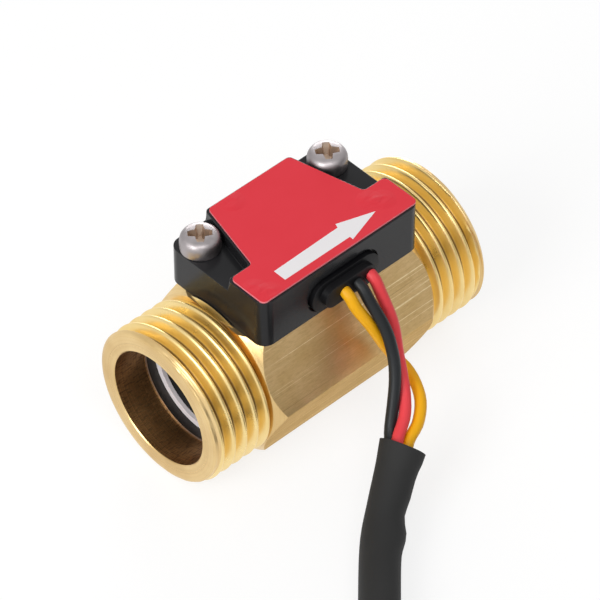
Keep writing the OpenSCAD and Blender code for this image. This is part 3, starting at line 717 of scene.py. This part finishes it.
def pan_screw(name, node_name, turn):
    """Pan head screw; turn is how far the cross recess is turned, in degrees."""
    low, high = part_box(node_name)
    centre = (low + high) / 2
    seat = high.z - HEAD_HEIGHT
    head = [(2.38, 0), (2.48, 0.1), (2.5, 0.3), (2.5, 1.1), (2.47, 1.42), (2.38, 1.72), (2.22, 1.98),
            (1.98, 2.18), (1.65, 2.3), (1.0, 2.37), (0, 2.4)]
    outline = [(0, low.z), (0.8 * MM, low.z), (1.2 * MM, low.z + 0.4 * MM), (1.2 * MM, seat)]
    outline += [(r * MM, seat + z * MM) for r, z in head]
    bm = bmesh.new()
    verts = [bm.verts.new((centre.x + r, centre.y, z)) for r, z in outline]
    edges = [bm.edges.new(pair) for pair in zip(verts, verts[1:])]
    bmesh.ops.spin(bm, geom=verts + edges, cent=(centre.x, centre.y, 0), axis=(0, 0, 1), dvec=(0, 0, 0),
                   angle=math.tau, steps=72, use_merge=True)
    bmesh.ops.remove_doubles(bm, verts=bm.verts, dist=1e-7)
    bmesh.ops.recalc_face_normals(bm, faces=bm.faces)
    cross = bmesh.new()
    corners = []
    for quarter in range(4):
        spin = Matrix.Rotation(math.radians(turn + 90 * quarter), 2)
        corners += [spin @ Vector(corner) for corner in ((1.66, -0.46), (1.66, 0.46), (0.68, 0.64))]
    rim = cross.faces.new([cross.verts.new((c.x * MM, c.y * MM, 0)) for c in corners])
    grown = bmesh.ops.extrude_face_region(cross, geom=[rim])["geom"]
    floor = [g for g in grown if isinstance(g, bmesh.types.BMVert)]
    bmesh.ops.scale(cross, verts=floor, vec=(0.5, 0.5, 1))
    bmesh.ops.translate(cross, verts=floor, vec=(0, 0, -1.7 * MM))
    bmesh.ops.translate(cross, verts=cross.verts, vec=(centre.x, centre.y, high.z + 0.3 * MM))
    bmesh.ops.recalc_face_normals(cross, faces=cross.faces)
    bm = carved(solid_object("head", bm), solid_object("cross", cross), "DIFFERENCE")
    bmesh.ops.remove_doubles(bm, verts=bm.verts, dist=2e-7)
    for face in bm.faces:
        middle = face.calc_center_median()
        away = math.hypot(middle.x - centre.x, middle.y - centre.y)
        low_enough = seat < middle.z < high.z - 0.01 * MM
        # Faces of the cross recess get the brown-tinted steel, a painted reflection
        face.material_index = 1 if away < 1.7 * MM and low_enough and face.normal.z < 0.8 \
            or away < 1.2 * MM and seat < middle.z < high.z - 0.8 * MM else 0
    return piece(name, bm, ["steel", "steel_recess_painted_reflection"], "meter", [node_name], 32)


# Cable
def hose(name, line, outer_at, inner_r, sides=24):
    """A hollow hose along a line, open at both ends."""
    bm = bmesh.new()
    rings = []
    frames = moving_frames(line)
    for i, (point, ahead, side, over) in enumerate(frames):
        for thinner in (0, SLEEVE_R - inner_r):
            ring = []
            for k in range(sides):
                across, above = math.cos(math.tau * k / sides), math.sin(math.tau * k / sides)
                radius, shift = outer_at(i, across)
                ring.append(bm.verts.new(point + ahead * shift + (side * across + over * above) * (radius - thinner)))
            rings.append(ring)
    count = len(frames)
    for i in range(count - 1):
        for layer in (0, 1):
            a, b = rings[2 * i + layer], rings[2 * i + 2 + layer]
            for k in range(sides):
                bm.faces.new((a[k], a[(k + 1) % sides], b[(k + 1) % sides], b[k]))
    for i in (0, count - 1):
        a, b = rings[2 * i], rings[2 * i + 1]
        for k in range(sides):
            bm.faces.new((a[k], a[(k + 1) % sides], b[(k + 1) % sides], b[k]))
    bmesh.ops.recalc_face_normals(bm, faces=bm.faces)
    return bm


def cord_curve(name, line, radius, finish_name, replaces):
    curve = bpy.data.curves.new(name, "CURVE")
    curve.dimensions = "3D"
    spline = curve.splines.new("POLY")
    spline.points.add(len(line) - 1)
    for target, point in zip(spline.points, line):
        target.co = (*point, 1)
    spline.use_smooth = True
    curve.bevel_depth = radius
    curve.bevel_resolution = 3
    curve.use_fill_caps = True
    curve.materials.append(finish[finish_name])
    obj = bpy.data.objects.new(name, curve)
    bpy.context.scene.collection.objects.link(obj)
    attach(obj, "meter")
    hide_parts(*replaces)
    return obj


sleeve_line = smooth_line(in_metres(SLEEVE_ROUTE) + coil_turns(), 1.2 * MM)
sleeve_frames = moving_frames(sleeve_line)


def sleeve_shape(i, across):
    """Outer radius, and shift along the hose: flared on one side of the slanted mouth, with a dent and a
    swelling further on, as the hose was pushed over the wires."""
    away = i * 1.2
    flare_side = max(-across, 0) ** 1.5
    flare = 0.12 * math.exp(-(away / 1.6) ** 2) + 0.55 * flare_side * math.exp(-(away / 2.6) ** 2)
    dent = 0.34 * flare_side * math.exp(-((away - 8.4) / 1.6) ** 2)
    swelling = 0.42 * flare_side * math.exp(-((away - 11.4) / 1.9) ** 2)
    shift = (0.1 - 0.45 * across) * math.exp(-(away / 2.4) ** 2)
    return SLEEVE_R + (flare - dent + swelling) * MM, shift * MM


def wire_line(route, start_across, start_over, angle, offset):
    """One whole wire: out of the housing, through the sleeve and its coil, and to the plug."""
    middle = []
    for i, (point, ahead, side, over) in enumerate(sleeve_frames):
        if i % 3 or i < 2:
            continue
        away = i * 1.2
        settled = min(away / 9, 1)
        turn = math.radians(angle) + away / 55 * math.tau
        across = (1 - settled) * start_across + settled * 0.88 * math.cos(turn)
        above = (1 - settled) * start_over + settled * 0.88 * math.sin(turn)
        middle.append(point + (side * across + over * above) * MM)
    return smooth_line(in_metres(route) + middle + wire_end_route(offset), 0.8 * MM)


for colour, route, across, over, angle, offset in (
        ("yellow", YELLOW_ROUTE, -1.0, -0.3, 210, -2.5),
        ("black", BLACK_ROUTE, 1.15, -0.3, 330, 0),
        ("red", RED_ROUTE, 0.3, 1.1, 90, 2.5)):
    line = wire_line(route, across, over, angle, offset)
    wire = cord_curve("wire_" + colour + "_lead", line, WIRE_R, "wire_" + colour,
                      ["wire_" + colour, "wire_end_" + colour])

sleeve = piece("hose_sleeve", hose("hose", sleeve_line, sleeve_shape, SLEEVE_BORE_R), ["hose"], "meter",
               ["sleeve", "sleeve_coil"], 60)


def plug_shell():
    bm = node_copy("plug_housing")
    ease_edges(bm, 0.12 * MM, 2, 35)
    return piece("plug_shell", bm, ["plug"], "meter", ["plug_housing"], 30)


plug = plug_shell()

brass_body()
sensor_housing()
label_film()
arrow_print()
wire_outlet()
pan_screw("screw_head_inlet", "screw_inlet", 50.8)
pan_screw("screw_head_outlet", "screw_outlet", 55.3)


# Floor, light and background
def shows_background(make):
    """1 for rays from the camera, in reflections and through clear pieces."""
    path = make("LightPath")
    seen = make("Math", {0: path.outputs["Is Camera Ray"], 1: path.outputs["Is Glossy Ray"]}, operation="ADD")
    both = make("Math", {0: seen.outputs[0], 1: path.outputs["Is Transmission Ray"]}, operation="ADD")
    both.use_clamp = True
    return both.outputs[0]


def pale_stage():
    """A pale floor that takes the shadow and shows white."""
    floor_bm = bmesh.new()
    bmesh.ops.create_grid(floor_bm, x_segments=2, y_segments=2, size=3)
    mesh = bpy.data.meshes.new("floor")
    floor_bm.to_mesh(mesh)
    floor_bm.free()
    material, make, join = shade("floor_pale", Roughness=1.0, Specular_IOR_Level=0.0, Emission_Color=(1, 1, 1))
    seen = shows_background(make)
    join(blend_colours(make, seen, (0.8, 0.8, 0.8), (0.25, 0.25, 0.25)), "Base Color")
    join(remap(make, seen, 0, 1, 0, FLOOR_LIFT), "Emission Strength")
    mesh.materials.append(material)
    floor = bpy.data.objects.new("floor", mesh)
    bpy.context.scene.collection.objects.link(floor)


def soft_lamp(name, place, size, power, aim=(0, 0, 0.01), height=None):
    lamp = bpy.data.lights.new(name, "AREA")
    lamp.shape = "RECTANGLE"
    lamp.size = size
    lamp.size_y = height or size
    lamp.energy = power
    turn = (Vector(place) - Vector(aim)).to_track_quat("Z", "Y").to_matrix().to_4x4()
    obj = bpy.data.objects.new(name, lamp)
    obj.matrix_world = Matrix.Translation(place) @ turn
    bpy.context.scene.collection.objects.link(obj)


FLOOR_LIFT = 0.78
WORLD_LIGHT = 0.35
WORLD_SHOWN = 0.82
GAP_WAY = (0.487, -0.873, 0)
GAP_LOW = 0.05
GAP_HIGH = 0.3
GAP_SIDE = 0.68
bpy.context.scene.view_settings.view_transform = "Standard"
pale_stage()
soft_lamp("key", (-0.75, -0.1, 0.5), 0.45, 4.5)
soft_lamp("back", (0.62, 0.68, 0.21), 0.6, 4.0, height=0.3)
soft_lamp("fill", (-0.25, -0.45, 0.75), 0.5, 2.0)
world = bpy.data.worlds.new("studio")
bpy.context.scene.world = world
world.use_nodes = True
backdrop = world.node_tree.nodes["Background"]
backdrop.inputs["Color"].default_value = (1, 1, 1, 1)


def make_in_world(kind, links=None, **settings):
    node = world.node_tree.nodes.new("ShaderNode" + kind)
    for key, value in settings.items():
        setattr(node, key, value)
    for socket, source in (links or {}).items():
        world.node_tree.links.new(source, node.inputs[socket])
    return node


def dark_gap():
    """1 where reflections see the dark gap over the floor on the side across from the back lamp."""
    parts = make_in_world("SeparateXYZ", {"Vector": make_in_world("TexCoord").outputs["Generated"]})
    way = make_in_world("VectorMath", {0: make_in_world("TexCoord").outputs["Generated"]}, operation="DOT_PRODUCT")
    way.inputs[1].default_value = GAP_WAY
    bottom = remap(make_in_world, parts.outputs["Z"], GAP_LOW - 0.04, GAP_LOW + 0.04, 0, 1)
    top = remap(make_in_world, parts.outputs["Z"], GAP_HIGH - 0.04, GAP_HIGH + 0.04, 1, 0)
    near = remap(make_in_world, way.outputs["Value"], GAP_SIDE, GAP_SIDE + 0.1, 0, 1)
    glossy = make_in_world("LightPath").outputs["Is Glossy Ray"]
    share = make_in_world("Math", {0: bottom, 1: top}, operation="MULTIPLY")
    share = make_in_world("Math", {0: share.outputs[0], 1: near}, operation="MULTIPLY")
    return make_in_world("Math", {0: share.outputs[0], 1: glossy}, operation="MULTIPLY").outputs[0]


light = remap(make_in_world, shows_background(make_in_world), 0, 1, WORLD_LIGHT, WORLD_SHOWN)
kept = remap(make_in_world, dark_gap(), 0, 1, 1, 0.06)
strength = make_in_world("Math", {0: light, 1: kept}, operation="MULTIPLY")
world.node_tree.links.new(strength.outputs[0], backdrop.inputs["Strength"])
